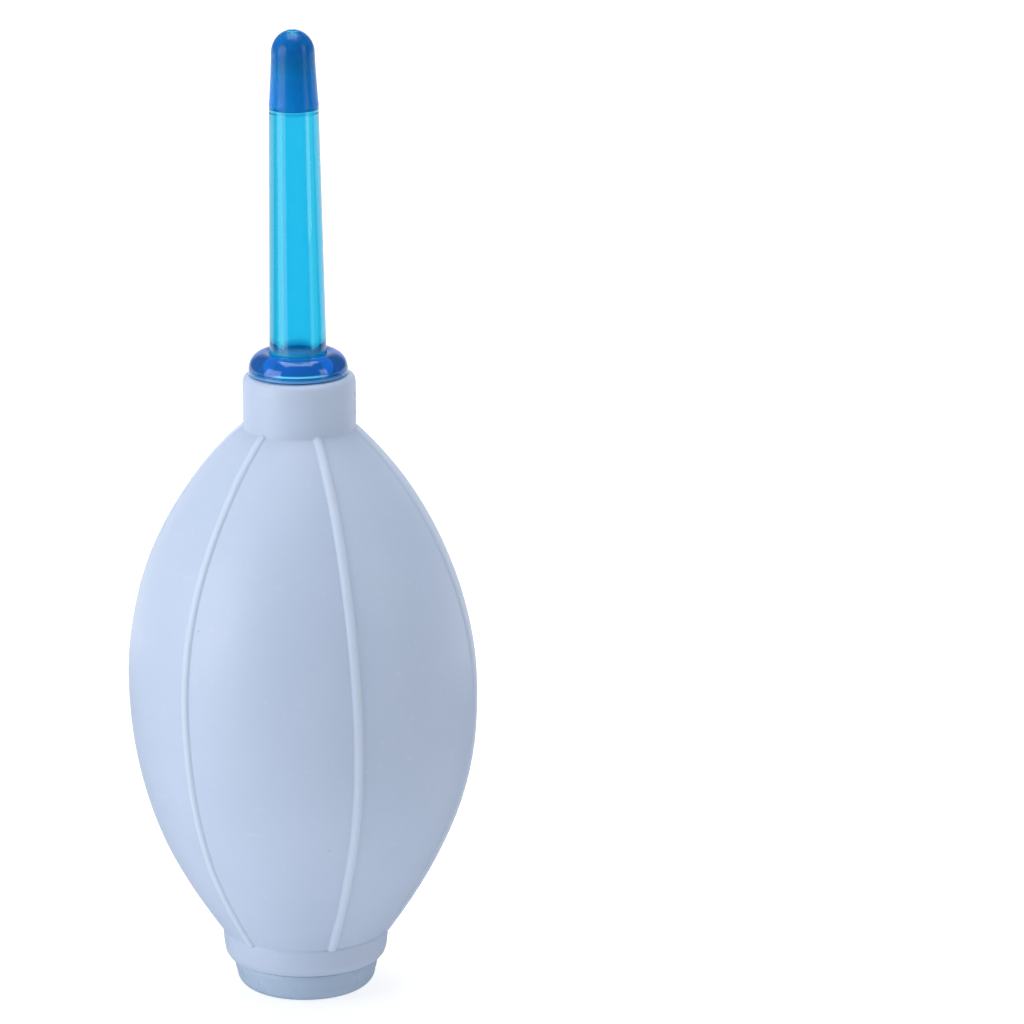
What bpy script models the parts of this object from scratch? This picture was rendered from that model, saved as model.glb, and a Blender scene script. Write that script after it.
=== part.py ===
"""Dust blower bulb: a hollow ribbed rubber bulb with an intake valve in its base and a long clear nozzle.

Metres, +Z up. The origin is the centre of the resting face, and +Z runs along the axis to the tip.
"""

import math

import bmesh
import bpy
from mathutils import Matrix, Vector

# Room left between pieces that touch on the real object, and the small chamfer on most edges.
GAP = 0.0003
CHAMFER = 0.0003
BULB_STEPS = 42
TURN_STEPS = 32
SHARP_ANGLE = math.radians(40)

# Bulb skin: collar at the bottom, belly, neck at the top.
BULB_RADIUS = 0.0275
BULB_WIDEST_Z = 0.0505
WALL = 0.0022
COLLAR_BOTTOM_Z = 0.0050
COLLAR_TOP_Z = 0.0099
COLLAR_RADIUS = 0.0131
COLLAR_BOTTOM_RADIUS = 0.0119
COLLAR_EDGE_HEIGHT = 0.0022
COLLAR_EDGE_STEPS = 4
COLLAR_BORE_RADIUS = 0.0103
COLLAR_BORE_TOP_Z = 0.0120
COLLAR_LEDGE_RADIUS = 0.0118
CHAMBER_BOTTOM_Z = COLLAR_BORE_TOP_Z + 0.0010
NECK_BOTTOM_Z = 0.0920
NECK_TOP_Z = 0.1005
NECK_RADIUS = 0.00885
NECK_BORE_RADIUS = 0.0058
CHAMBER_NECK_RADIUS = NECK_BORE_RADIUS + 0.0015
NECK_ROUND = 0.0010
NECK_ROUND_STEPS = 3

# The belly's outline is two cubic curves that meet at its widest point. These are its handles (r, z).
BELLY_TOP_HANDLE = (0.0040, -0.0034)
BELLY_UPPER_HANDLE = 0.0226
BELLY_LOWER_HANDLE = 0.0170
BELLY_BOTTOM_HANDLE = (0.0086, 0.0118)
BELLY_STEPS = 8

# Raised ribs along the belly.
RIB_COUNT = 6
RIB_FIRST_ANGLE = math.radians(30)
RIB_RADIUS = 0.00085
RIB_SINK = 0.00035

# Base plug: resting rim, stem in the collar, lip above it.
PLUG_TOP_Z = COLLAR_BOTTOM_Z - GAP
PLUG_TOP_RADIUS = 0.0114
PLUG_ROUND_WIDTH = 0.0030
PLUG_ROUND_HEIGHT = 0.0023
PLUG_ROUND_STEPS = 6
PLUG_FLAT_RADIUS = 0.0080
PLUG_STEM_RADIUS = COLLAR_BORE_RADIUS - GAP
PLUG_LIP_Z = COLLAR_BORE_TOP_Z + GAP
PLUG_LIP_RADIUS = 0.0112
PLUG_LIP_HEIGHT = 0.0012
PLUG_TIP_HEIGHT = 0.0024
PLUG_TIP_Z = PLUG_LIP_Z + PLUG_TIP_HEIGHT
PLUG_TIP_RADIUS = 0.0094
RECESS_RADIUS = 0.0066

# Intake valve: holes through the plug's web, a loose disc above them, and the cage that stops it.
VALVE_SEAT_Z = 0.0064
VALVE_SEAT_THICKNESS = 0.0016
SEAT_HOLE_COUNT = 6
SEAT_HOLE_RADIUS = 0.0010
SEAT_HOLE_CIRCLE = 0.0030
GRILLE_BOTTOM_Z = 0.0006
GRILLE_THICKNESS = 0.0012
GRILLE_HOLE_RADIUS = 0.00085
GRILLE_RINGS = ((1, 0.0), (6, 0.0024), (12, 0.0047))
GRILLE_TWIST = math.radians(7)
DISC_RADIUS = 0.0047
DISC_THICKNESS = 0.0008
DISC_EDGE = 0.0002
DISC_LIFT = 0.0012
CAGE_RING_WIDTH = 0.0011
CAGE_CROWN = 0.0012
CAGE_HUB_RADIUS = 0.0017
CAGE_SPOKES = 4
CAGE_SPOKE_WIDTH = 0.0014
CAGE_STEP = 0.0001

# Nozzle collar: the ring on the neck, and its hollow barbed stem.
RING_RADIUS = 0.0052
RING_HALF_WIDTH = 0.0025
RING_HALF_HEIGHT = 0.0028
RING_SEAT_Z = NECK_TOP_Z + GAP
RING_SEAT_RADIUS = 0.0072
RING_RISE = 0.0005
RING_CENTRE_Z = RING_SEAT_Z + RING_RISE
RING_ARC = (101, -8)
RING_STEPS = 13
STEM_RADIUS = NECK_BORE_RADIUS - GAP
STEM_BOTTOM_Z = 0.0880
STEM_BOTTOM_RADIUS = 0.0047
STEM_FLOOR_Z = 0.0915
STEM_AIR_RADIUS = 0.0022
STEM_BARB_RADIUS = 0.0062
STEM_BARB_HEIGHT = 0.0018
SOCKET_RADIUS = 0.0041
SOCKET_REBATE_Z = 0.1035

# Nozzle tube and its soft tip.
TUBE_FOOT_Z = SOCKET_REBATE_Z + GAP
TUBE_FOOT_RADIUS = 0.00441
TUBE_RIM_Z = 0.1429
TUBE_RIM_RADIUS = 0.00387
TUBE_SPIGOT_RADIUS = SOCKET_RADIUS - GAP
TUBE_BOTTOM_Z = 0.0932
TUBE_BORE_BOTTOM = 0.0022
TUBE_BORE_TOP = 0.0019
TIP_SPIGOT_RADIUS = 0.0025
TIP_SPIGOT_TOP_Z = 0.1505
TIP_RIM_Z = TUBE_RIM_Z + GAP
TIP_RIM_RADIUS = 0.0039
TIP_SHOULDER_Z = 0.1516
TIP_SHOULDER_RADIUS = 0.0034
TIP_DOME_HEIGHT = 0.00365
TIP_DOME_STEPS = 9
TIP_BORE_RADIUS = TIP_SPIGOT_RADIUS + GAP
TIP_HOLE_RADIUS = 0.0008


def clear_scene():
    for obj in list(bpy.data.objects):
        bpy.data.objects.remove(obj, do_unlink=True)


def new_collection(name):
    collection = bpy.data.collections.new(name)
    bpy.context.scene.collection.children.link(collection)
    return collection


def new_material(name, color, roughness, transmission=0.0):
    material = bpy.data.materials.new(name)
    material.use_nodes = True
    shader = material.node_tree.nodes["Principled BSDF"]
    shader.inputs["Base Color"].default_value = (*color, 1.0)
    shader.inputs["Roughness"].default_value = roughness
    shader.inputs["Metallic"].default_value = 0.0
    shader.inputs["Transmission Weight"].default_value = transmission
    return material


def arc(centre, radii, start, end, steps):
    """Points (r, z) on an ellipse, from angle start to end in degrees, where 0 points away from the axis."""
    points = []
    for i in range(steps + 1):
        angle = math.radians(start + (end - start) * i / steps)
        points.append((centre[0] + radii[0] * math.cos(angle), centre[1] + radii[1] * math.sin(angle)))
    return points


def bezier(a, b, c, d, steps):
    """Points (r, z) on a cubic curve from a to d."""
    points = []
    for i in range(steps + 1):
        t = i / steps
        weights = ((1 - t) ** 3, 3 * t * (1 - t) ** 2, 3 * t * t * (1 - t), t**3)
        r = sum(weight * point[0] for weight, point in zip(weights, (a, b, c, d)))
        z = sum(weight * point[1] for weight, point in zip(weights, (a, b, c, d)))
        points.append((r, z))
    return points


def belly(steps):
    """The belly's outer line (r, z) from the neck down to the collar."""
    top = (NECK_RADIUS, NECK_BOTTOM_Z)
    widest = (BULB_RADIUS, BULB_WIDEST_Z)
    bottom = (COLLAR_RADIUS, COLLAR_TOP_Z)
    below_top = (top[0] + BELLY_TOP_HANDLE[0], top[1] + BELLY_TOP_HANDLE[1])
    above_bottom = (bottom[0] + BELLY_BOTTOM_HANDLE[0], bottom[1] + BELLY_BOTTOM_HANDLE[1])
    upper = bezier(top, below_top, (widest[0], widest[1] + BELLY_UPPER_HANDLE), widest, steps)
    lower = bezier(widest, (widest[0], widest[1] - BELLY_LOWER_HANDLE), above_bottom, bottom, steps)
    return upper + lower[1:]


def inset(points, distance):
    """The line moved towards the axis by distance, square to itself."""
    moved = []
    for i, (r, z) in enumerate(points):
        before = points[max(i - 1, 0)]
        after = points[min(i + 1, len(points) - 1)]
        along = Vector((after[0] - before[0], after[1] - before[1])).normalized()
        moved.append((r + along.y * distance, z - along.x * distance))
    return moved


def plate(radius, bottom, top, edge):
    """Outline of a flat disc on the axis, with its edges taken off."""
    return [
        (0.0, top),
        (radius - edge, top),
        (radius, top - edge),
        (radius, bottom + edge),
        (radius - edge, bottom),
        (0.0, bottom),
    ]


def turned(name, profile, material, collection, closed=True, steps=TURN_STEPS):
    """A solid turned about Z from a profile (r, z) that runs down its outer side and up its inner side."""
    edges = [(i, i + 1) for i in range(len(profile) - 1)]
    if closed:
        edges.append((len(profile) - 1, 0))
    mesh = bpy.data.meshes.new(name)
    mesh.from_pydata([(r, 0.0, z) for r, z in profile], edges, [])
    obj = bpy.data.objects.new(name, mesh)
    collection.objects.link(obj)
    obj.data.materials.append(material)
    screw = obj.modifiers.new("Turn", "SCREW")
    screw.steps = steps
    screw.render_steps = steps
    screw.use_merge_vertices = True
    screw.merge_threshold = 0.00001
    screw.use_smooth_shade = True
    return obj


def baked(obj):
    """The object with its modifiers made real, and smooth apart from its corners."""
    bpy.context.view_layer.update()
    graph = bpy.context.evaluated_depsgraph_get()
    mesh = bpy.data.meshes.new_from_object(obj.evaluated_get(graph))
    obj.modifiers.clear()
    obj.data = mesh
    mesh.shade_smooth()
    mesh.set_sharp_from_angle(angle=SHARP_ANGLE)
    return obj


def move_to(obj, collection):
    for old in list(obj.users_collection):
        old.objects.unlink(obj)
    collection.objects.link(obj)


def as_cutter(obj, name, cutters):
    obj.name = name
    obj.hide_render = True
    obj.display_type = "WIRE"
    move_to(obj, cutters)
    return obj


def drill(name, radius, low, high, position, cutters, vertices=12):
    """A round cutter along Z at position (x, y)."""
    bpy.ops.mesh.primitive_cylinder_add(
        vertices=vertices,
        radius=radius,
        depth=high - low,
        location=(position[0], position[1], (low + high) / 2),
    )
    return as_cutter(bpy.context.object, name, cutters)


def combine(obj, other, operation):
    boolean = obj.modifiers.new(operation.title(), "BOOLEAN")
    boolean.operation = operation
    boolean.object = other
    boolean.solver = "EXACT"


def ring_positions(count, radius, first_angle=0.0):
    for i in range(count):
        angle = first_angle + 2 * math.pi * i / count
        yield radius * math.cos(angle), radius * math.sin(angle)


def bulb_outside():
    """The skin's outer line: neck, belly, then the moulded collar down to its bottom face."""
    neck_edge = (NECK_RADIUS - NECK_ROUND, NECK_TOP_Z - NECK_ROUND)
    line = [(NECK_BORE_RADIUS + CHAMFER, NECK_TOP_Z)]
    line += arc(neck_edge, (NECK_ROUND, NECK_ROUND), 90, 0, NECK_ROUND_STEPS)
    line += belly(BELLY_STEPS)
    edge_centre = (COLLAR_BOTTOM_RADIUS, COLLAR_BOTTOM_Z + COLLAR_EDGE_HEIGHT)
    edge_radii = (COLLAR_RADIUS - COLLAR_BOTTOM_RADIUS, COLLAR_EDGE_HEIGHT)
    line += arc(edge_centre, edge_radii, 0, -90, COLLAR_EDGE_STEPS)
    return line


def bulb_inside():
    """The skin's inner line, up from the collar's bore, round the air chamber, and up the neck's bore."""
    chamber = [p for p in reversed(inset(belly(BELLY_STEPS), WALL)) if p[1] > CHAMBER_BOTTOM_Z]
    chamber = [p for p in chamber if p[0] > CHAMBER_NECK_RADIUS]
    line = [
        (COLLAR_BORE_RADIUS, COLLAR_BOTTOM_Z),
        (COLLAR_BORE_RADIUS, COLLAR_BORE_TOP_Z),
        (COLLAR_LEDGE_RADIUS, COLLAR_BORE_TOP_Z),
    ]
    line += chamber
    line.append((NECK_BORE_RADIUS, chamber[-1][1] + WALL))
    line.append((NECK_BORE_RADIUS, NECK_TOP_Z - CHAMFER))
    return line


def add_rib(angle, name, cutters):
    """A round bead along the belly at this angle, as a closed mesh that is joined to the skin."""
    curve = bpy.data.curves.new(name, "CURVE")
    curve.dimensions = "3D"
    curve.bevel_depth = RIB_RADIUS
    curve.bevel_resolution = 1
    curve.use_fill_caps = True
    path = inset(belly(BELLY_STEPS), RIB_SINK)
    spline = curve.splines.new("POLY")
    spline.points.add(len(path) - 1)
    for point, (r, z) in zip(spline.points, path):
        point.co = (r, 0.0, z, 1.0)
    holder = bpy.data.objects.new(name, curve)
    cutters.objects.link(holder)
    holder.rotation_euler.z = angle
    bpy.context.view_layer.update()
    graph = bpy.context.evaluated_depsgraph_get()
    mesh = bpy.data.meshes.new_from_object(holder.evaluated_get(graph))
    work = bmesh.new()
    work.from_mesh(mesh)
    bmesh.ops.remove_doubles(work, verts=work.verts, dist=0.000001)
    bmesh.ops.recalc_face_normals(work, faces=work.faces)
    work.to_mesh(mesh)
    work.free()
    rib = bpy.data.objects.new(name, mesh)
    cutters.objects.link(rib)
    rib.matrix_world = holder.matrix_world
    bpy.data.objects.remove(holder, do_unlink=True)
    return as_cutter(rib, name, cutters)


def make_squeeze_bulb(material, parts, cutters):
    bulb = turned("squeeze_bulb", bulb_outside() + bulb_inside(), material, parts, steps=BULB_STEPS)
    for i in range(RIB_COUNT):
        angle = RIB_FIRST_ANGLE + 2 * math.pi * i / RIB_COUNT
        combine(bulb, add_rib(angle, f"rib_{i}", cutters), "UNION")
    return baked(bulb)


def make_base_plug(material, parts, cutters):
    """Stepped plug, open above and below a web that is the valve's seat."""
    seat_bottom = VALVE_SEAT_Z - VALVE_SEAT_THICKNESS
    profile = [
        (RECESS_RADIUS, PLUG_TIP_Z),
        (PLUG_TIP_RADIUS, PLUG_TIP_Z),
        (PLUG_LIP_RADIUS, PLUG_LIP_Z + PLUG_LIP_HEIGHT),
        (PLUG_LIP_RADIUS, PLUG_LIP_Z),
        (PLUG_STEM_RADIUS, PLUG_LIP_Z),
        (PLUG_STEM_RADIUS, PLUG_TOP_Z),
        (PLUG_TOP_RADIUS, PLUG_TOP_Z),
    ]
    rim_centre = (PLUG_FLAT_RADIUS, PLUG_ROUND_HEIGHT)
    profile += arc(rim_centre, (PLUG_ROUND_WIDTH, PLUG_ROUND_HEIGHT), 0, -90, PLUG_ROUND_STEPS)
    profile += [
        (RECESS_RADIUS + CHAMFER, 0.0),
        (RECESS_RADIUS, CHAMFER),
        (RECESS_RADIUS, seat_bottom),
        (0.0, seat_bottom),
        (0.0, VALVE_SEAT_Z),
        (RECESS_RADIUS, VALVE_SEAT_Z),
    ]
    plug = turned("base_plug", profile, material, parts)
    for i, place in enumerate(ring_positions(SEAT_HOLE_COUNT, SEAT_HOLE_CIRCLE)):
        low = seat_bottom - VALVE_SEAT_THICKNESS
        high = VALVE_SEAT_Z + VALVE_SEAT_THICKNESS
        hole = drill(f"seat_hole_{i}", SEAT_HOLE_RADIUS, low, high, place, cutters)
        combine(plug, hole, "DIFFERENCE")
    return baked(plug)


def make_intake_grille(material, parts, cutters):
    """Perforated disc snapped into the plug's recess, just above the resting face."""
    bpy.ops.mesh.primitive_cylinder_add(
        vertices=TURN_STEPS,
        radius=RECESS_RADIUS - GAP,
        depth=GRILLE_THICKNESS,
        location=(0.0, 0.0, GRILLE_BOTTOM_Z + GRILLE_THICKNESS / 2),
    )
    grille = bpy.context.object
    grille.name = "intake_grille"
    grille.data.materials.append(material)
    move_to(grille, parts)
    places = []
    for count, circle in GRILLE_RINGS:
        places += ring_positions(count, circle, GRILLE_TWIST)
    low = GRILLE_BOTTOM_Z - GRILLE_THICKNESS
    high = GRILLE_BOTTOM_Z + 2 * GRILLE_THICKNESS
    for i, place in enumerate(places):
        hole = drill(f"grille_hole_{i}", GRILLE_HOLE_RADIUS, low, high, place, cutters, vertices=8)
        combine(grille, hole, "DIFFERENCE")
    return baked(grille)


def make_intake_filter(material, parts):
    """Foam disc between the grille and the valve's web."""
    bottom = GRILLE_BOTTOM_Z + GRILLE_THICKNESS + GAP
    top = VALVE_SEAT_Z - VALVE_SEAT_THICKNESS - GAP
    profile = plate(RECESS_RADIUS - GAP, bottom, top, CHAMFER)
    return baked(turned("intake_filter", profile, material, parts, closed=False))


def make_intake_valve_disc(material, parts):
    bottom = VALVE_SEAT_Z + GAP
    profile = plate(DISC_RADIUS, bottom, bottom + DISC_THICKNESS, DISC_EDGE)
    return baked(turned("intake_valve_disc", profile, material, parts, closed=False))


def make_intake_cage(material, parts, cutters):
    """Ring pressed in above the seat, whose crossed spokes stop the valve disc at the top of its lift."""
    bottom = VALVE_SEAT_Z + GAP
    stop = bottom + DISC_THICKNESS + DISC_LIFT
    top = stop + CAGE_CROWN
    outer = RECESS_RADIUS - GAP
    inner = outer - CAGE_RING_WIDTH
    profile = [
        (inner, top),
        (outer - CHAMFER, top),
        (outer, top - CHAMFER),
        (outer, bottom),
        (inner, bottom),
    ]
    cage = turned("intake_cage", profile, material, parts)
    hub = drill("cage_hub", CAGE_HUB_RADIUS, stop, top - CAGE_STEP, (0.0, 0.0), cutters)
    combine(cage, hub, "UNION")
    reach = inner + CAGE_RING_WIDTH / 2
    height = CAGE_CROWN - 2 * CAGE_STEP
    for i, place in enumerate(ring_positions(CAGE_SPOKES, reach / 2, math.pi / CAGE_SPOKES)):
        bpy.ops.mesh.primitive_cube_add(size=1.0)
        spoke = as_cutter(bpy.context.object, f"cage_spoke_{i}", cutters)
        spoke.data.transform(Matrix.Diagonal((reach, CAGE_SPOKE_WIDTH, height, 1.0)))
        spoke.location = (*place, stop + CAGE_CROWN / 2)
        spoke.rotation_euler.z = math.atan2(place[1], place[0])
        combine(cage, spoke, "UNION")
    return baked(cage)


def make_nozzle_collar(material, parts):
    """Rounded ring that sits on the neck, with a hollow barbed stem below it that takes the tube."""
    rebate = TUBE_FOOT_RADIUS + GAP
    ring = arc((RING_RADIUS, RING_CENTRE_Z), (RING_HALF_WIDTH, RING_HALF_HEIGHT), *RING_ARC, RING_STEPS)
    barb_top = STEM_BOTTOM_Z + STEM_BARB_HEIGHT
    profile = [(rebate, SOCKET_REBATE_Z)]
    profile += [point for point in ring if point[1] > RING_SEAT_Z]
    profile += [
        (RING_SEAT_RADIUS, RING_SEAT_Z),
        (STEM_RADIUS, RING_SEAT_Z),
        (STEM_RADIUS, barb_top),
        (STEM_BARB_RADIUS, barb_top - CHAMFER),
        (STEM_BOTTOM_RADIUS, STEM_BOTTOM_Z),
        (STEM_AIR_RADIUS, STEM_BOTTOM_Z),
        (STEM_AIR_RADIUS, STEM_FLOOR_Z),
        (SOCKET_RADIUS, STEM_FLOOR_Z),
        (SOCKET_RADIUS, SOCKET_REBATE_Z),
    ]
    return baked(turned("nozzle_collar", profile, material, parts))


def make_nozzle_tube(material, parts):
    """Tapered clear tube with a spigot at each end: one in the collar's socket, one inside the tip."""
    profile = [
        (TIP_SPIGOT_RADIUS - CHAMFER, TIP_SPIGOT_TOP_Z),
        (TIP_SPIGOT_RADIUS, TIP_SPIGOT_TOP_Z - CHAMFER),
        (TIP_SPIGOT_RADIUS, TUBE_RIM_Z),
        (TUBE_RIM_RADIUS - CHAMFER, TUBE_RIM_Z),
        (TUBE_RIM_RADIUS, TUBE_RIM_Z - CHAMFER),
        (TUBE_FOOT_RADIUS, TUBE_FOOT_Z),
        (TUBE_SPIGOT_RADIUS, TUBE_FOOT_Z),
        (TUBE_SPIGOT_RADIUS, TUBE_BOTTOM_Z + CHAMFER),
        (TUBE_SPIGOT_RADIUS - CHAMFER, TUBE_BOTTOM_Z),
        (TUBE_BORE_BOTTOM, TUBE_BOTTOM_Z),
        (TUBE_BORE_BOTTOM, TUBE_FOOT_Z),
        (TUBE_BORE_TOP, TUBE_RIM_Z),
        (TUBE_BORE_TOP, TIP_SPIGOT_TOP_Z),
    ]
    return baked(turned("nozzle_tube", profile, material, parts))


def make_nozzle_tip(material, parts):
    """Soft cap with a domed end and a small outlet hole."""
    dome = arc((0.0, TIP_SHOULDER_Z), (TIP_SHOULDER_RADIUS, TIP_DOME_HEIGHT), 90, 0, TIP_DOME_STEPS)
    dome = [point for point in dome if point[0] > TIP_HOLE_RADIUS + CHAMFER]
    bore_top = TIP_SPIGOT_TOP_Z + GAP
    profile = [(TIP_HOLE_RADIUS, TIP_SHOULDER_Z + TIP_DOME_HEIGHT)] + dome
    profile += [
        (TIP_RIM_RADIUS, TIP_RIM_Z + CHAMFER),
        (TIP_RIM_RADIUS - CHAMFER, TIP_RIM_Z),
        (TIP_BORE_RADIUS, TIP_RIM_Z),
        (TIP_BORE_RADIUS, bore_top),
        (TIP_HOLE_RADIUS, bore_top + 2 * CHAMFER),
    ]
    return baked(turned("nozzle_tip", profile, material, parts))


def main():
    clear_scene()
    parts = new_collection("dust_blower_bulb")
    cutters = new_collection("cutters")
    rubber = new_material("bulb_rubber", (0.47, 0.57, 0.72), 0.38)
    plug_plastic = new_material("plug_plastic", (0.30, 0.39, 0.50), 0.28)
    grille_plastic = new_material("grille_plastic", (0.26, 0.34, 0.44), 0.35)
    foam = new_material("filter_foam", (0.16, 0.17, 0.18), 0.95)
    silicone = new_material("valve_silicone", (0.75, 0.76, 0.74), 0.45)
    cage_plastic = new_material("cage_plastic", (0.80, 0.82, 0.84), 0.35)
    ring_plastic = new_material("ring_plastic", (0.01, 0.07, 0.30), 0.08, transmission=0.6)
    tube_plastic = new_material("tube_plastic", (0.02, 0.50, 0.85), 0.06, transmission=0.8)
    tip_vinyl = new_material("tip_vinyl", (0.01, 0.14, 0.48), 0.30, transmission=0.2)
    make_squeeze_bulb(rubber, parts, cutters)
    make_base_plug(plug_plastic, parts, cutters)
    make_intake_grille(grille_plastic, parts, cutters)
    make_intake_filter(foam, parts)
    make_intake_valve_disc(silicone, parts)
    make_intake_cage(cage_plastic, parts, cutters)
    make_nozzle_collar(ring_plastic, parts)
    make_nozzle_tube(tube_plastic, parts)
    make_nozzle_tip(tip_vinyl, parts)


main()
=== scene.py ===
"""Dust blower bulb: fine surfaces, materials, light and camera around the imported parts.

Metres, +Z up, in the parts' own frame: the origin is the centre of the resting face and +Z runs to the tip.
Outlines are lists of (r, z), r out from the axis. They run down the outer side and up the inner side.
"""

import math

import bmesh
import bpy
import numpy as np
from mathutils import Matrix, Vector


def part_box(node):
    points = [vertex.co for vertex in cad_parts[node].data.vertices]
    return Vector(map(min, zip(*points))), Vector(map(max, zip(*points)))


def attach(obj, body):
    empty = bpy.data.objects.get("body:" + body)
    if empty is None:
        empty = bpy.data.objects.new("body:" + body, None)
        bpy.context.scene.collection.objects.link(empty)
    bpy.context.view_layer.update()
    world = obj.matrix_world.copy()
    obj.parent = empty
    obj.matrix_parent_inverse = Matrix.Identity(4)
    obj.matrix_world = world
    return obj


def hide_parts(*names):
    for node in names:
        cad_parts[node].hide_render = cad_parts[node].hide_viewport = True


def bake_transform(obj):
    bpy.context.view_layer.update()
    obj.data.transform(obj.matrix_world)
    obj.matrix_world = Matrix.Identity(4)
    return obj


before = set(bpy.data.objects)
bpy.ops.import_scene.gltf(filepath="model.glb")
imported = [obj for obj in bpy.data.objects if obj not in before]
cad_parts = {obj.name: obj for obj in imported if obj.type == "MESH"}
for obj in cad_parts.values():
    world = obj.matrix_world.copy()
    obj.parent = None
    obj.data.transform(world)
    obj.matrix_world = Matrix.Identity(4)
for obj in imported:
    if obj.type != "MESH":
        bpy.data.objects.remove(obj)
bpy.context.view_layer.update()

# Levels read from the frame.
BULB_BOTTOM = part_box("squeeze_bulb")[0].z
NECK_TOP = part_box("squeeze_bulb")[1].z
PLUG_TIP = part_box("base_plug")[1].z
GRILLE_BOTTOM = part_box("intake_grille")[0].z
GRILLE_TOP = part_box("intake_grille")[1].z
GRILLE_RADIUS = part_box("intake_grille")[1].x
STEM_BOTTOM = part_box("nozzle_collar")[0].z
RING_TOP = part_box("nozzle_collar")[1].z
TUBE_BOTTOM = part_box("nozzle_tube")[0].z
TUBE_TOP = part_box("nozzle_tube")[1].z
TIP_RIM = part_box("nozzle_tip")[0].z
TIP_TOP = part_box("nozzle_tip")[1].z

# Room left between neighbours, as in the parts, and between fine surfaces that touch on the real object.
GAP = 0.0003
TOUCH = 0.00005

# Bulb: moulded collar, belly, neck.
COLLAR_TOP = BULB_BOTTOM + 0.00487
COLLAR_BORE = 0.0103
COLLAR_MOUTH = 0.0003
COLLAR_LEDGE_Z = BULB_BOTTOM + 0.0070
COLLAR_LEDGE = 0.0118
NECK_RADIUS = 0.00885
BELLY_FOOT = (0.01311, COLLAR_TOP)
BELLY_FOOT_HANDLE = (0.00857, 0.01183)
BELLY_WIDEST = (0.0275, 0.05054)
BELLY_DOWN_HANDLE = 0.0170
BELLY_UP_HANDLE = 0.02257
BELLY_HEAD = (NECK_RADIUS, NECK_TOP - 0.00852)
BELLY_HEAD_HANDLE = (0.00401, -0.00336)
BELLY_STEPS = 76
COLLAR_STEP = (0.00010, 0.00015, 0.00012)
COLLAR_BULGE = (-0.00004, 0.0004, 0.0002)
COLLAR_SIDE = (0.00010, 0.0022, 0.0012)
COLLAR_TURN = (0.00035, 0.0038, 0.0008)
COLLAR_EDGE = (0.00125, 0.0004)
NECK_EDGE = 0.0013
NECK_FOOT_BEND = 0.0005
NECK_BORE = 0.0058
NECK_MOUTH = 0.0004
NECK_BORE_FOOT = NECK_TOP - 0.0100
CHAMBER_NECK = 0.0073
CHAMBER_FLOOR = COLLAR_LEDGE_Z + 0.0010
CHAMBER_CONE = 0.0020
WALL = 0.0022
ROW = 0.0003
UNEVEN = 0.00002

# Ribs: beads along the belly, which run a little way over the neck and the collar.
RIB_COUNT = 6
RIB_FIRST = math.radians(30)
RIB_HALF_WIDTH = 0.00084
RIB_PROUD = 0.00040
RIB_OVER_NECK = 0.0013
RIB_OVER_COLLAR = 0.0006
RIB_BEAD = (2.4, 1.25)
RIB_COLUMNS = (0.05, 0.16, 0.36, 0.56, 0.72, 0.84, 0.93, 1.0, 1.12, 1.35)
RIB_MOST_ANGLE = math.radians(12)
COLUMNS_BETWEEN = 15

# The skin isn't quite true: it sways sideways a little on its way up.
SWAY = 0.0002
SWAY_MIDDLE = 0.0537
SWAY_REACH = 0.0293

# The neck sits a little to the camera's right.
NECK_SHIFT = 0.00012
NECK_SHIFT_LEVELS = (0.087, 0.092)

# The mould's parting line: a thin ridge down two opposite ribs, with scraps of flash on the neck.
PARTING_RIBS = (2, 5)
PARTING_PROUD = 0.00003
PARTING_WIDTH = 0.08
FLASH = ((0.0975, 0.00030, 0.00014), (0.0962, 0.00022, 0.00010), (0.0946, 0.00035, 0.00012))

# Base plug.
PLUG_TOP = BULB_BOTTOM - 0.0001
PLUG_TOP_RADIUS = 0.0114
PLUG_SHOULDER = (0.01138, 0.0043)
PLUG_SHOULDER_HANDLE = (0.01132, 0.0038)
PLUG_SIDE_HANDLE = (0.01118, 0.0032)
PLUG_SIDE = (0.0110, 0.0027)
PLUG_FLAT_RADIUS = 0.0076
PLUG_STEM = COLLAR_BORE - GAP
PLUG_LIP_Z = COLLAR_LEDGE_Z + GAP
PLUG_LIP = 0.0112
PLUG_LIP_HEIGHT = 0.0012
PLUG_TIP_RADIUS = 0.0094
RECESS = GRILLE_RADIUS + GAP
VALVE_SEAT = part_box("intake_valve_disc")[0].z - GAP
SEAT_THICKNESS = 0.0016
SEAT_HOLES = 6
SEAT_HOLE_CIRCLE = 0.0030
SEAT_HOLE = 0.0010
HOLE_FLARE = 0.00012
GRILLE_RINGS = ((1, 0.0), (6, 0.0024), (12, 0.0047))
GRILLE_TWIST = math.radians(7)
GRILLE_HOLE = 0.00085
PAD_EDGE = 0.0004
DISC_EDGE = 0.0002
DISC_ALLOWANCE = 0.00002

# Nozzle: ring with its stem, tube, tip.
RING_SEAT = NECK_TOP + TOUCH
RING_CENTRE = (0.0053, RING_SEAT + 0.00075)
RING_RADII = (0.0025, RING_TOP - RING_CENTRE[1])
RING_ARC = (104, -10)
RING_SEAT_RADIUS = 0.0069
STEM_RADIUS = NECK_BORE - GAP
STEM_BORE = 0.0022
STEM_END = 0.0047
STEM_BARB = (0.0062, 0.0015, 0.0018)
SOCKET_FLOOR = STEM_BOTTOM + 0.0035
TUBE_FOOT = 0.00448
SOCKET = TUBE_FOOT + TOUCH
TUBE_RIM = 0.00387
TUBE_RIM_Z = TIP_RIM - GAP
TIP_FOOT = TUBE_RIM_Z + TOUCH
TUBE_GROOVE = (0.00035, 0.0005, 0.00065)
TUBE_GROOVE_DEPTH = 0.00004
TUBE_SWELL = 0.00001
TUBE_BORE = (0.0022, 0.0019)
TIP_SPIGOT = 0.0025
TIP_RIM_RADIUS = 0.00388
TIP_RIM_HEIGHT = 0.0006
TIP_RIM_TAPER = 0.00003
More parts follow.
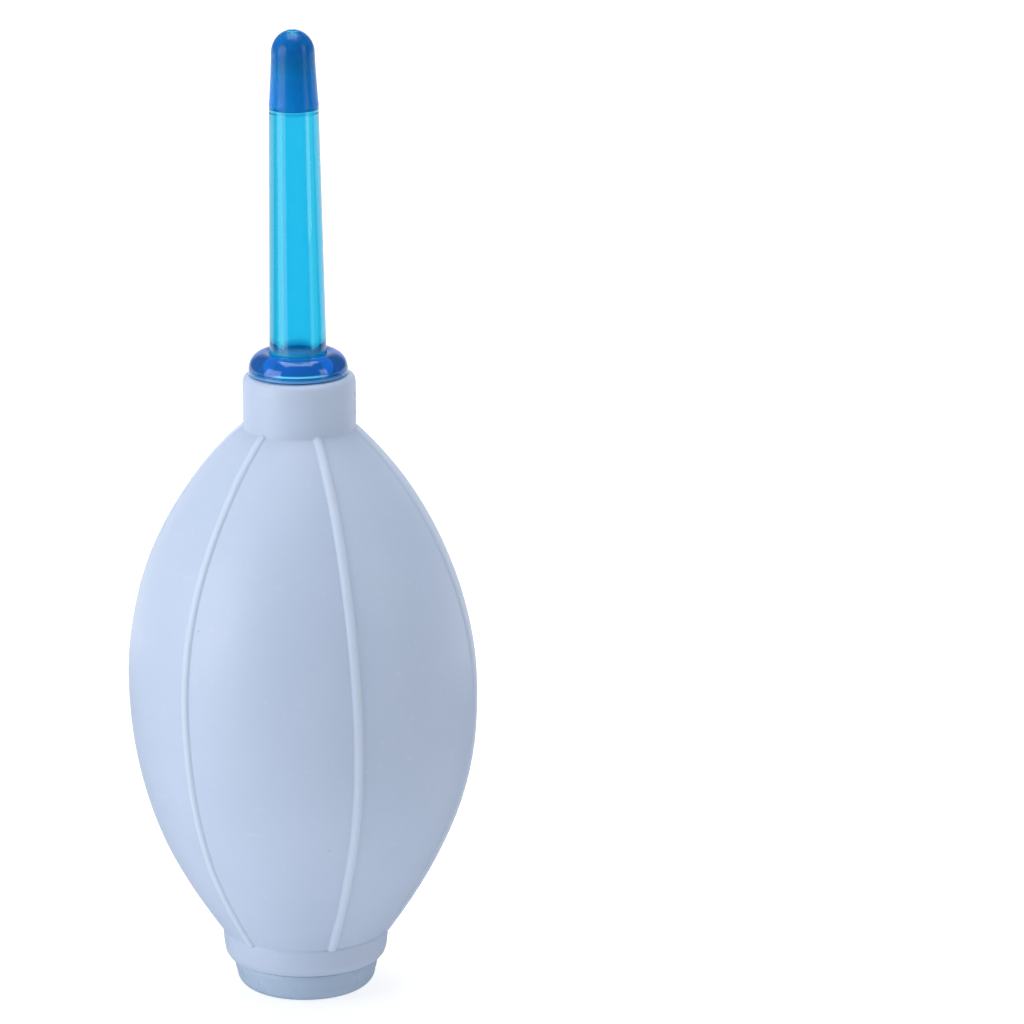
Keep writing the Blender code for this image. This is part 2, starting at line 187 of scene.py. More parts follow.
TIP_LIP = (TIP_RIM_RADIUS - 0.00008, TIP_FOOT + 0.0012)
TIP_LIP_HANDLE = (TIP_LIP[0] - 0.00012, TIP_LIP[1] + 0.0020)
TIP_SHOULDER = (0.0034, TIP_TOP - 0.00363)
TIP_SHOULDER_HANDLE = (TIP_SHOULDER[0], TIP_SHOULDER[1] - 0.0012)
TIP_HOLE = 0.0008
TIP_MOUTH = (0.0010, 0.00012)
TIP_POCKET_CONE = 0.0009

# The tube and the tip lean a little to the camera's left.
LEAN = -0.0033

# Where the camera stands. The ribs at 210, 270 and 330 degrees are the ones that it sees.
CAMERA_ANGLE = math.radians(250.2)
CAMERA_ELEVATION = math.radians(15.25)
CAMERA_DISTANCE = 1.1618
CAMERA_HEIGHT = 0.07785
CAMERA_SIDESTEP = 0.03327
CAMERA_ROLL = 0.006
CAMERA_LENS = 260.0
CAMERA_SENSOR = 36.0

# Colours of the rubber and of the plastics. Where there are two, the material wanders between them.
RUBBER_BODY = ((0.450, 0.545, 0.722), (0.468, 0.562, 0.740))
RUBBER_DUST = (0.56, 0.64, 0.79)
RUBBER_SCUFF = (0.60, 0.68, 0.82)
RUBBER_RIB = (0.56, 0.655, 0.815)
RUBBER_SPECK = (0.16, 0.20, 0.28)
PLUG_BODY = ((0.372, 0.482, 0.650), (0.388, 0.500, 0.668))
PLUG_SPECK = (0.12, 0.15, 0.20)
GRILLE_BODY = ((0.25, 0.33, 0.43), (0.27, 0.35, 0.46))
FOAM_BODY = ((0.03, 0.03, 0.035), (0.20, 0.21, 0.22))
SILICONE_BODY = ((0.70, 0.71, 0.69), (0.77, 0.78, 0.76))
CAGE_BODY = ((0.77, 0.79, 0.81), (0.82, 0.84, 0.86))
TIP_BODY = ((0.0020, 0.172, 0.70), (0.0024, 0.186, 0.74))
# The dome's colour is painted shade, darker than the side.
TIP_DOME_PAINTED_SHADE = (0.0040, 0.118, 0.35)
TIP_DOME_SHADE_DEPTHS = (0.0070, 0.0030)
TIP_GLOW_COLOUR = (0.3, 0.7, 1.0)
TIP_GLOW_REACH = 0.008

# Absorption is given as a colour. With this density, what the colour lacks of white is about the share
# of the light that one millimetre takes away.
PER_MILLIMETRE = 1000.0

# Tube's plastic: clear and light blue, a painted shade line under the tip, painted light as a cloudier cyan
# at its foot, and cloudier at its hidden ends.
TUBE_BODY = ((0.29, 0.80, 0.950), (0.31, 0.82, 0.960))
TUBE_ABSORB = (0.58, 0.905, 0.945, 1.0)
TUBE_PAINTED_SHADE_LINE = (0.01, 0.38, 0.72)
TUBE_SHADE_LINE_DEPTHS = (0.0008, 0.0006, 0.0005, 0.0003)
TUBE_SHADE_LINE_SHARE = 0.8
TUBE_FOOT_PAINTED_LIGHT = (0.01, 0.65, 1.0)
TUBE_PAINTED_FOOT_CLEAR = 0.5
TUBE_PAINTED_FOOT_REACH = 0.0016
TUBE_END_COLOUR = (0.04, 0.60, 0.93)
TUBE_END_CLEAR = 0.6
TUBE_END_HEIGHTS = (0.0030, 0.0060)
TUBE_END_DEPTHS = (0.0002, 0.0001)

# Ring's plastic: how clear it is, its colours, and painted light: a pale foot and a pale line, which stand
# in for light that the clear ring gathers. The painted line is fixed to the ring, strongest a little to the
# right of the side that faces the camera, and faint elsewhere.
RING_CLEAR = 0.72
RING_BODY = ((0.03, 0.29, 0.95), (0.04, 0.32, 0.98))
RING_ABSORB = (0.3, 0.93, 0.975, 1.0)
RING_PAINTED_LIGHT_FOOT = (0.36, 0.82, 1.0)
RING_PAINTED_FOOT_SHARE = 0.9
RING_PAINTED_FOOT_CLEAR = 0.25
RING_PAINTED_FOOT_LEVELS = (0.0001, 0.0009)
RING_PAINTED_LIGHT_LINE = (0.15, 0.82, 1.0)
RING_PAINTED_LINE_LEVELS = (0.00095, 0.00110, 0.00125, 0.00140)
RING_PAINTED_LINE_REACH = (0.0062, 0.0073)
RING_PAINTED_LINE_ANGLE = CAMERA_ANGLE + 0.07
RING_PAINTED_LINE_LEAST = 0.12
RING_PAINTED_LINE_CLEAR = 0.1
SOCKET_WALL = (0.0001, 0.0002)
WHITE = (1.0, 1.0, 1.0)

# Studio: the floor's own glow to the eye and as it lights the object, its radius, and how far from
# the axis its two halves meet, where minus is away from the camera. Then the surround as matt surfaces
# see it and as reflections see it, both from in front of the object to behind it, and the brighter
# part straight behind. The reaches say where on the way, from 1 in front to -1 behind, each changes.
FLOOR_GLOW = 0.72
FLOOR_BOUNCE = 0.60
FLOOR_GREYS = ((0.49, 0.49, 0.49), (0.51, 0.51, 0.51))
FLOOR_RADIUS = 4.0
FLOOR_JOIN = -0.18
FLOOR_DROP = 0.0001
WORLD_FILL = (0.20, 0.75)
WORLD_FILL_REACH = (0.30, -0.90)
WORLD_REFLECTED = (0.01, 0.12)
WORLD_REFLECTED_REACH = (0.45, -0.35)
WORLD_RIM = 0.80
WORLD_RIM_REACH = (-0.80, -1.0)


# Outlines ----------------------------------------------------------------------------------------


def arc(centre, radii, start, end, steps):
    """Points on an ellipse from angle start to end in degrees, where 0 points away from the axis."""
    points = []
    for i in range(steps + 1):
        angle = math.radians(start + (end - start) * i / steps)
        points.append((centre[0] + radii[0] * math.cos(angle), centre[1] + radii[1] * math.sin(angle)))
    return points


def bezier(a, b, c, d, steps):
    """Points on a cubic curve from a to d."""
    points = []
    for i in range(steps + 1):
        t = i / steps
        weights = ((1 - t) ** 3, 3 * t * (1 - t) ** 2, 3 * t * t * (1 - t), t**3)
        points.append(tuple(sum(w * p[axis] for w, p in zip(weights, (a, b, c, d))) for axis in (0, 1)))
    return points


def softened(corners, steps=6):
    """The line through corners (r, z, reach), where each corner is rounded from that distance before it."""
    points = []
    for i, (r, z, reach) in enumerate(corners):
        here = Vector((r, z))
        if reach == 0.0:
            points.append((r, z))
            continue
        before = Vector(corners[i - 1][:2]) - here
        after = Vector(corners[(i + 1) % len(corners)][:2]) - here
        start = here + before.normalized() * min(reach, before.length / 2)
        end = here + after.normalized() * min(reach, after.length / 2)
        for step in range(steps + 1):
            t = step / steps
            point = start * (1 - t) ** 2 + here * 2 * t * (1 - t) + end * t**2
            points.append((point.x, point.y))
    return points


def plain(points):
    """The points as corners that stay as they are."""
    return [(r, z, 0.0) for r, z in points]


def dense(points, spacing):
    """The same line, with points added so that no two are further apart than spacing."""
    line = [points[0]]
    for a, b in zip(points, points[1:]):
        pieces = max(1, math.ceil(math.dist(a, b) / spacing))
        for k in range(1, pieces + 1):
            line.append((a[0] + (b[0] - a[0]) * k / pieces, a[1] + (b[1] - a[1]) * k / pieces))
    return line


def inset(points, distance):
    """The line moved towards the axis by distance, square to itself."""
    moved = []
    for i, (r, z) in enumerate(points):
        before = points[max(i - 1, 0)]
        after = points[min(i + 1, len(points) - 1)]
        along = Vector((after[0] - before[0], after[1] - before[1])).normalized()
        moved.append((r + along.y * distance, z - along.x * distance))
    return moved


# Meshes ------------------------------------------------------------------------------------------


def surface(name, rings, closed=True):
    """A smooth mesh from rings of points (rows, columns, 3). Without closed, its ends lie on the axis."""
    rows, columns = rings.shape[:2]
    faces = []
    for i in range(rows if closed else rows - 1):
        for j in range(columns):
            low = ((i + 1) % rows) * columns
            beside = (j + 1) % columns
            faces.append((i * columns + j, low + j, low + beside, i * columns + beside))
    mesh = bpy.data.meshes.new(name)
    mesh.from_pydata(rings.reshape(-1, 3).tolist(), [], faces)
    if not closed:
        work = bmesh.new()
        work.from_mesh(mesh)
        bmesh.ops.remove_doubles(work, verts=work.verts, dist=1e-7)
        work.to_mesh(mesh)
        work.free()
    mesh.shade_smooth()
    obj = bpy.data.objects.new(name, mesh)
    bpy.context.scene.collection.objects.link(obj)
    return obj


def turned(name, outline, columns=128, closed=True):
    """A solid turned about the axis from its outline."""
    angles = np.linspace(0, 2 * math.pi, columns, endpoint=False)
    rings = np.array([[(r * math.cos(a), r * math.sin(a), z) for a in angles] for r, z in outline])
    return surface(name, rings, closed)


def drilled(obj, places, radius, low, high, flare):
    """obj with round holes along Z at places, whose mouths are widened by flare."""
    outline = softened(
        [
            (0.0, high + radius, 0.0),
            (radius + flare, high + radius, 0.0),
            (radius + flare, high, flare),
            (radius, high - flare, flare),
            (radius, low + flare, flare),
            (radius + flare, low, flare),
            (radius + flare, low - radius, 0.0),
            (0.0, low - radius, 0.0),
        ],
        steps=3,
    )
    cutters = []
    for i, (x, y) in enumerate(places):
        cutter = turned(f"hole_{i}", outline, columns=32, closed=False)
        cutter.data.transform(Matrix.Translation((x, y, 0.0)))
        cutters.append(cutter)
        cut = obj.modifiers.new(cutter.name, "BOOLEAN")
        cut.operation = "DIFFERENCE"
        cut.solver = "EXACT"
        cut.object = cutter
    bpy.context.view_layer.update()
    graph = bpy.context.evaluated_depsgraph_get()
    mesh = bpy.data.meshes.new_from_object(obj.evaluated_get(graph))
    obj.modifiers.clear()
    obj.data = mesh
    mesh.shade_smooth()
    mesh.set_sharp_from_angle(angle=math.radians(35))
    for cutter in cutters:
        bpy.data.objects.remove(cutter, do_unlink=True)
    return obj


def ring_positions(count, radius, first_angle=0.0):
    for i in range(count):
        angle = first_angle + 2 * math.pi * i / count
        yield radius * math.cos(angle), radius * math.sin(angle)


# Bulb --------------------------------------------------------------------------------------------


def belly_line(steps):
    """The belly's outer line from the neck down to the collar."""
    below_head = (BELLY_HEAD[0] + BELLY_HEAD_HANDLE[0], BELLY_HEAD[1] + BELLY_HEAD_HANDLE[1])
    above_foot = (BELLY_FOOT[0] + BELLY_FOOT_HANDLE[0], BELLY_FOOT[1] + BELLY_FOOT_HANDLE[1])
    above_widest = (BELLY_WIDEST[0], BELLY_WIDEST[1] + BELLY_UP_HANDLE)
    below_widest = (BELLY_WIDEST[0], BELLY_WIDEST[1] - BELLY_DOWN_HANDLE)
    upper = bezier(BELLY_HEAD, below_head, above_widest, BELLY_WIDEST, steps)
    lower = bezier(BELLY_WIDEST, below_widest, above_foot, BELLY_FOOT, steps)
    return upper + lower[1:]


def bulb_outer_line():
    neck = [
        (NECK_BORE + NECK_MOUTH, NECK_TOP, 0.0),
        (NECK_RADIUS, NECK_TOP, NECK_EDGE),
        (NECK_RADIUS, BELLY_HEAD[1] + NECK_FOOT_BEND, NECK_FOOT_BEND),
    ]
    turns = (COLLAR_STEP, COLLAR_BULGE, COLLAR_SIDE, COLLAR_TURN)
    collar = [(BELLY_FOOT[0] - inward, COLLAR_TOP - down, reach) for inward, down, reach in turns]
    collar += [
        (BELLY_FOOT[0] - COLLAR_EDGE[0], BULB_BOTTOM, COLLAR_EDGE[1]),
        (COLLAR_BORE + COLLAR_MOUTH, BULB_BOTTOM, 0.0),
    ]
    return dense(softened(neck + plain(belly_line(BELLY_STEPS)) + collar), ROW)


def bulb_inner_line():
    chamber = [p for p in reversed(inset(belly_line(24), WALL)) if p[1] > CHAMBER_FLOOR]
    chamber = [p for p in chamber if p[0] > CHAMBER_NECK]
    start = [
        (COLLAR_BORE, BULB_BOTTOM + COLLAR_MOUTH, 0.0),
        (COLLAR_BORE, COLLAR_LEDGE_Z, 0.0),
        (COLLAR_LEDGE, COLLAR_LEDGE_Z, 0.0),
    ]
    end = [(NECK_BORE, NECK_BORE_FOOT + CHAMBER_CONE, 0.0004), (NECK_BORE, NECK_TOP - NECK_MOUTH, 0.0)]
    return softened(start + plain(chamber) + end)


def bead(across):
    """Height of a rib across its width, from 1 in the middle to 0 at its sides."""
    flatness, steepness = RIB_BEAD
    return np.clip(1 - np.abs(across) ** flatness, 0, 1) ** steepness


def rib_relief(line, across):
    """How far the ribs stand out, along r, for each row of the outer line and each place across a rib."""
    r, z = line[:, 0], line[:, 1]
    slope = np.abs(np.gradient(r) / np.minimum(np.gradient(z), -1e-9))
    slope = np.clip(slope, 0, 1)
    over_neck = z - BELLY_HEAD[1]
    under_collar = BELLY_FOOT[1] - z
    neck_slope = -BELLY_HEAD_HANDLE[0] / BELLY_HEAD_HANDLE[1]
    foot_slope = BELLY_FOOT_HANDLE[0] / BELLY_FOOT_HANDLE[1]
    path = r.copy()
    path = np.where(over_neck > 0, BELLY_HEAD[0] - neck_slope * over_neck, path)
    path = np.where(under_collar > 0, BELLY_FOOT[0] - foot_slope * under_collar, path)
    slope = np.where(over_neck > 0, neck_slope, slope)
    slope = np.where(under_collar > 0, foot_slope, slope)
    past = np.maximum(over_neck / RIB_OVER_NECK, under_collar / RIB_OVER_COLLAR)
    ends = np.sqrt(np.clip(1 - np.clip(past, 0, 1) ** 2, 0, 1))
    proud = (RIB_PROUD * ends * np.sqrt(1 + slope**2))[:, None] * bead(across)[None, :]
    top = path[:, None] + proud
    return np.where(proud > 0, np.maximum(top - r[:, None], 0), 0)


def parting_relief(line, across):
    """The thin ridge of the parting line, and the flash beside it on the neck."""
    z = line[:, 1]
    ridge = PARTING_PROUD * (1 + 0.35 * np.sin(z * 2600) + 0.25 * np.sin(z * 4700 + 1))
    for height, reach, proud in FLASH:
        ridge = ridge + proud * np.exp(-(((z - height) / reach) ** 2))
    return ridge[:, None] * np.exp(-((across / PARTING_WIDTH) ** 2))[None, :]


def make_bulb():
    outer = np.array(bulb_outer_line())
    inner = np.array(bulb_inner_line())
    steps = np.array(RIB_COLUMNS)
    across = np.concatenate([-steps[::-1], [0.0], steps])
    between = np.arange(1, COLUMNS_BETWEEN + 1) / (COLUMNS_BETWEEN + 1)
    line = np.concatenate([outer, inner])
    rows = len(line)
    half = np.minimum(RIB_HALF_WIDTH / line[:, 0], RIB_MOST_ANGLE)
    sector = 2 * math.pi / RIB_COUNT
    on_outside = np.zeros((rows, 1))
    on_outside[: len(outer)] = 1.0
    ribs = rib_relief(outer, across)
    parting = parting_relief(outer, across)
    angles = []
    radii = []
    for k in range(RIB_COUNT):
        middle = RIB_FIRST + k * sector
        rib_angles = middle + half[:, None] * across[None, :]
        relief = np.zeros((rows, len(across)))
        relief[: len(outer)] = ribs
        if k in PARTING_RIBS:
            relief[: len(outer)] += parting
        first = middle + half * across[-1]
        last = middle + sector - half * across[-1]
        angles += [rib_angles, first[:, None] + (last - first)[:, None] * between[None, :]]
        radii += [line[:, :1] + relief, np.repeat(line[:, :1], COLUMNS_BETWEEN, axis=1)]
    angle = np.concatenate(angles, axis=1)
    radius = np.concatenate(radii, axis=1)
    uneven = np.sin(3 * angle + 70 * line[:, 1:]) + np.sin(2 * angle - 110 * line[:, 1:] + 1)
    radius = radius + UNEVEN * uneven * on_outside
    height = np.repeat(line[:, 1:], angle.shape[1], axis=1)
    rings = np.stack([radius * np.cos(angle), radius * np.sin(angle), height], axis=2)
    along = np.clip((height - SWAY_MIDDLE) / SWAY_REACH, -1, 1)
    low, high = NECK_SHIFT_LEVELS
    to_right = NECK_SHIFT * np.clip((height - low) / (high - low), 0, 1) - SWAY * np.sin(math.pi * along)
    rings[..., 0] -= to_right * math.sin(CAMERA_ANGLE)
    rings[..., 1] += to_right * math.cos(CAMERA_ANGLE)
    bulb = surface("bulb_skin", rings)
    raised = (radius - line[:, :1]) / RIB_PROUD * on_outside
    mask = bulb.data.attributes.new("rib", "FLOAT", "POINT")
    mask.data.foreach_set("value", np.clip(raised, 0, 1).ravel())
    return bulb


# Base --------------------------------------------------------------------------------------------


def make_plug():
    seat_bottom = VALVE_SEAT - SEAT_THICKNESS
    corners = [
        (RECESS, PLUG_TIP, 0.0002),
        (PLUG_TIP_RADIUS, PLUG_TIP, 0.0003),
        (PLUG_LIP, PLUG_LIP_Z + PLUG_LIP_HEIGHT, 0.0002),
        (PLUG_LIP, PLUG_LIP_Z, 0.0002),
        (PLUG_STEM, PLUG_LIP_Z, 0.0),
        (PLUG_STEM, PLUG_TOP, 0.0),
        (PLUG_TOP_RADIUS, PLUG_TOP, 0.0002),
    ]
    corners += plain(bezier(PLUG_SHOULDER, PLUG_SHOULDER_HANDLE, PLUG_SIDE_HANDLE, PLUG_SIDE, 6))
    rim_radii = (PLUG_SIDE[0] - PLUG_FLAT_RADIUS, PLUG_SIDE[1])
    corners += plain(arc((PLUG_FLAT_RADIUS, PLUG_SIDE[1]), rim_radii, -6, -90, 16))
    corners += [
        (RECESS, 0.0, 0.0004),
        (RECESS, seat_bottom, 0.0001),
        (0.0, seat_bottom, 0.0),
        (0.0, VALVE_SEAT, 0.0),
        (RECESS, VALVE_SEAT, 0.0001),
    ]
    outline = softened(corners)
    pole = next(i for i, p in enumerate(outline) if p[0] == 0.0)
    outline = outline[pole + 1 :] + outline[: pole + 1]
    plug = turned("plug_body", outline, columns=160, closed=False)
    holes = list(ring_positions(SEAT_HOLES, SEAT_HOLE_CIRCLE))
    return drilled(plug, holes, SEAT_HOLE, seat_bottom, VALVE_SEAT, HOLE_FLARE)


def make_grille():
    outline = softened(
        [
            (0.0, GRILLE_TOP, 0.0),
            (GRILLE_RADIUS, GRILLE_TOP, 0.0002),
            (GRILLE_RADIUS, GRILLE_BOTTOM, 0.0003),
            (0.0, GRILLE_BOTTOM, 0.0),
        ]
    )
    grille = turned("grille_disc", outline, columns=96, closed=False)
    places = []
    for count, circle in GRILLE_RINGS:
        places += list(ring_positions(count, circle, GRILLE_TWIST))
    return drilled(grille, places, GRILLE_HOLE, GRILLE_BOTTOM, GRILLE_TOP, HOLE_FLARE)


def make_disc(name, node_name, edge):
    """A round disc that fills a plain part's box but for the allowance, with its edges rounded."""
    low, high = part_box(node_name)
    radius = high.x - DISC_ALLOWANCE
    top = high.z - DISC_ALLOWANCE
    bottom = low.z + DISC_ALLOWANCE
    outline = softened([(0.0, top, 0.0), (radius, top, edge), (radius, bottom, edge), (0.0, bottom, 0.0)])
    return turned(name, outline, columns=96, closed=False)


# Nozzle ------------------------------------------------------------------------------------------


def make_ring():
    corners = [(SOCKET, RING_TOP - 0.0002, 0.0001)]
    corners += plain(arc(RING_CENTRE, RING_RADII, *RING_ARC, 44))
    corners += [
        (RING_SEAT_RADIUS, RING_SEAT, 0.0003),
        (STEM_RADIUS, RING_SEAT, 0.0001),
        (STEM_RADIUS, STEM_BOTTOM + STEM_BARB[2], 0.0002),
        (STEM_BARB[0], STEM_BOTTOM + STEM_BARB[1], 0.0002),
        (STEM_END, STEM_BOTTOM, 0.0002),
        (STEM_BORE, STEM_BOTTOM, 0.0001),
        (STEM_BORE, SOCKET_FLOOR, 0.0001),
        (SOCKET, SOCKET_FLOOR, 0.0001),
    ]
    return turned("collar_ring", softened(corners), columns=160)


def leaned(obj):
    """obj with all above the ring shifted sideways in proportion to its height."""
    side = Vector((-math.sin(CAMERA_ANGLE), math.cos(CAMERA_ANGLE), 0.0))
    for vertex in obj.data.vertices:
        vertex.co += side * LEAN * max(0.0, vertex.co.z - RING_TOP)
    return obj


def make_tube():
    above, groove, below = (TUBE_RIM_Z - depth for depth in TUBE_GROOVE)
    corners = [
        (TUBE_BORE[1], TUBE_TOP, 0.0),
        (TIP_SPIGOT, TUBE_TOP, 0.0003),
        (TIP_SPIGOT, TUBE_RIM_Z, 0.0001),
        (TUBE_RIM, TUBE_RIM_Z, 0.00005),
        (TUBE_RIM, above, 0.0001),
        (TUBE_RIM - TUBE_GROOVE_DEPTH, groove, 0.0001),
        (TUBE_RIM + TUBE_SWELL, below, 0.0001),
        (TUBE_FOOT, RING_TOP, 0.0005),
        (TUBE_FOOT, TUBE_BOTTOM, 0.0003),
        (TUBE_BORE[0], TUBE_BOTTOM, 0.0),
        (TUBE_BORE[0], RING_TOP, 0.0010),
        (TUBE_BORE[1], TUBE_RIM_Z, 0.0010),
    ]
    return leaned(turned("clear_tube", softened(corners), columns=128))


def make_tip():
    dome = arc((0.0, TIP_SHOULDER[1]), (TIP_SHOULDER[0], TIP_TOP - TIP_SHOULDER[1]), 90, 0, 40)
    side = bezier(TIP_SHOULDER, TIP_SHOULDER_HANDLE, TIP_LIP_HANDLE, TIP_LIP, 14)
    corners = [(TIP_HOLE, TIP_TOP - TIP_MOUTH[1], 0.0)]
    corners += plain([p for p in dome if p[0] > TIP_MOUTH[0]])
    corners += plain(side[1:])
    corners += [
        (TIP_RIM_RADIUS, TIP_FOOT + TIP_RIM_HEIGHT, 0.0002),
        (TIP_RIM_RADIUS - TIP_RIM_TAPER, TIP_FOOT, 0.00006),
        (TIP_SPIGOT + GAP, TIP_FOOT, 0.0001),
        (TIP_SPIGOT + GAP, TUBE_TOP + GAP, 0.0002),
        (TIP_HOLE, TUBE_TOP + TIP_POCKET_CONE, 0.0002),
    ]
    return leaned(turned("tip_cap", softened(corners), columns=128))


# Materials ---------------------------------------------------------------------------------------


def new_material(name, roughness, ior=1.5):
    material = bpy.data.materials.new(name)
    material.use_nodes = True
    tree = material.node_tree
    shader = tree.nodes["Principled BSDF"]
    shader.inputs["Roughness"].default_value = roughness
    shader.inputs["IOR"].default_value = ior
    return material, tree, shader


def node(tree, kind, **values):
    """A new node, with its sockets or its settings set by name."""
    made = tree.nodes.new(kind)
    for key, value in values.items():
        if key in made.inputs:
            made.inputs[key].default_value = value
        else:
            setattr(made, key, value)
    return made


def place(tree, scale=(1.0, 1.0, 1.0)):
    """Object coordinates in metres, stretched by scale."""
    coordinates = tree.nodes.new("ShaderNodeTexCoord")
    mapping = node(tree, "ShaderNodeMapping", Scale=scale)
    tree.links.new(coordinates.outputs["Object"], mapping.inputs["Vector"])
    return mapping.outputs["Vector"]


def noise(tree, scale, detail=3.0, stretch=(1.0, 1.0, 1.0)):
    made = node(tree, "ShaderNodeTexNoise", Scale=scale, Detail=detail)
    tree.links.new(place(tree, stretch), made.inputs["Vector"])
    return made.outputs["Fac"]


def remap(tree, source, low, high, out_low, out_high):
    """source from low..high to out_low..out_high, clamped."""
    made = tree.nodes.new("ShaderNodeMapRange")
    tree.links.new(source, made.inputs["Value"])
    for socket, value in zip(("From Min", "From Max", "To Min", "To Max"), (low, high, out_low, out_high)):
        made.inputs[socket].default_value = value
    return made.outputs["Result"]


def blended(tree, factor, a, b):
    """Colour a where factor is 0 and b where it is 1. Each is a colour or a socket."""
    made = node(tree, "ShaderNodeMix", data_type="RGBA")
    tree.links.new(factor, made.inputs["Factor"])
    for socket, value in ((made.inputs[6], a), (made.inputs[7], b)):
        if isinstance(value, tuple):
            socket.default_value = (*value, 1.0)
        else:
            tree.links.new(value, socket)
    return made.outputs[2]


def mottled(tree, pair, scale, detail=3.0, low=0.35, high=0.65):
    """A colour that wanders between the two of pair."""
    return blended(tree, remap(tree, noise(tree, scale, detail), low, high, 0, 1), *pair)


def bumped(tree, shader, height, distance, strength=1.0):
    bump = node(tree, "ShaderNodeBump", Strength=strength, Distance=distance)
    tree.links.new(height, bump.inputs["Height"])
    tree.links.new(bump.outputs["Normal"], shader.inputs["Normal"])


def product(tree, a, b):
    made = node(tree, "ShaderNodeMath", operation="MULTIPLY")
    tree.links.new(a, made.inputs[0])
    tree.links.new(b, made.inputs[1])
    return made.outputs["Value"]


def scalar_mix(tree, factor, a, b):
    """Value a where factor is 0 and b where it is 1. Each is a number or a socket."""
    made = node(tree, "ShaderNodeMix", data_type="FLOAT")
    tree.links.new(factor, made.inputs["Factor"])
    for socket, value in ((made.inputs[2], a), (made.inputs[3], b)):
        if isinstance(value, float):
            socket.default_value = value
        else:
            tree.links.new(value, socket)
    return made.outputs[0]


def band(tree, source, levels, most=1):
    """0 outside four rising levels and most between the middle two."""
    a, b, c, d = levels
    return product(tree, remap(tree, source, a, b, 0, 1), remap(tree, source, c, d, most, 0))


def height_of(tree):
    """The height in metres."""
    parts = tree.nodes.new("ShaderNodeSeparateXYZ")
    tree.links.new(place(tree), parts.inputs["Vector"])
    return parts.outputs["Z"]


def absorbing(tree, colour):
    absorb = node(tree, "ShaderNodeVolumeAbsorption", Color=colour, Density=PER_MILLIMETRE)
    tree.links.new(absorb.outputs["Volume"], tree.nodes["Material Output"].inputs["Volume"])


def specks(tree, scale, size, share):
    """1 inside small round specks, in that share of the cells, and 0 elsewhere."""
    cells = node(tree, "ShaderNodeTexVoronoi", Scale=scale)
    tree.links.new(place(tree), cells.inputs["Vector"])
    dot = remap(tree, cells.outputs["Distance"], size * 0.6, size, 1.0, 0.0)
    chosen = tree.nodes.new("ShaderNodeSeparateColor")
    tree.links.new(cells.outputs["Color"], chosen.inputs["Color"])
    lit = remap(tree, chosen.outputs["Red"], share, share + 0.01, 1.0, 0.0)
    return product(tree, dot, lit)


def rubber_material():
    """Satin rubber, dusty and scuffed in places, with lighter ribs and a few dark specks."""
    material, tree, shader = new_material("bulb_rubber", 0.42)
    body = mottled(tree, RUBBER_BODY, 60, 4)
    dusty = blended(tree, remap(tree, noise(tree, 900, 2), 0.62, 0.80, 0, 0.35), body, RUBBER_DUST)
    scuffs = remap(tree, noise(tree, 120, 2, (1.0, 1.0, 9.0)), 0.70, 0.78, 0, 0.25)
    scuffed = blended(tree, scuffs, dusty, RUBBER_SCUFF)
    # The ribs are coloured lighter than the wall.
    rib = node(tree, "ShaderNodeAttribute", attribute_name="rib")
    ribs_lightened = blended(tree, remap(tree, rib.outputs["Fac"], 0.15, 0.9, 0, 0.75), scuffed, RUBBER_RIB)
    dark = remap(tree, specks(tree, 230, 0.05, 0.16), 0, 1, 0, 0.45)
    tree.links.new(blended(tree, dark, ribs_lightened, RUBBER_SPECK), shader.inputs["Base Color"])
    tree.links.new(remap(tree, noise(tree, 160, 4), 0.3, 0.7, 0.38, 0.47), shader.inputs["Roughness"])
    bumped(tree, shader, noise(tree, 1500, 3), 0.00002, 0.6)
    shader.inputs["Specular IOR Level"].default_value = 0.45
    return material


def plug_material():
    """Satin plastic with a few faint specks."""
    material, tree, shader = new_material("plug_plastic", 0.30)
    body = mottled(tree, PLUG_BODY, 120, 4)
    dark = remap(tree, specks(tree, 260, 0.05, 0.15), 0, 1, 0, 0.2)
    tree.links.new(blended(tree, dark, body, PLUG_SPECK), shader.inputs["Base Color"])
    tree.links.new(remap(tree, noise(tree, 300, 3), 0.3, 0.7, 0.26, 0.36), shader.inputs["Roughness"])
    bumped(tree, shader, noise(tree, 900, 2), 0.00001, 0.5)
    return material


def grille_material():
    material, tree, shader = new_material("grille_plastic", 0.4)
    tree.links.new(mottled(tree, GRILLE_BODY, 500), shader.inputs["Base Color"])
    bumped(tree, shader, noise(tree, 1800, 2), 0.00002, 0.6)
    return material


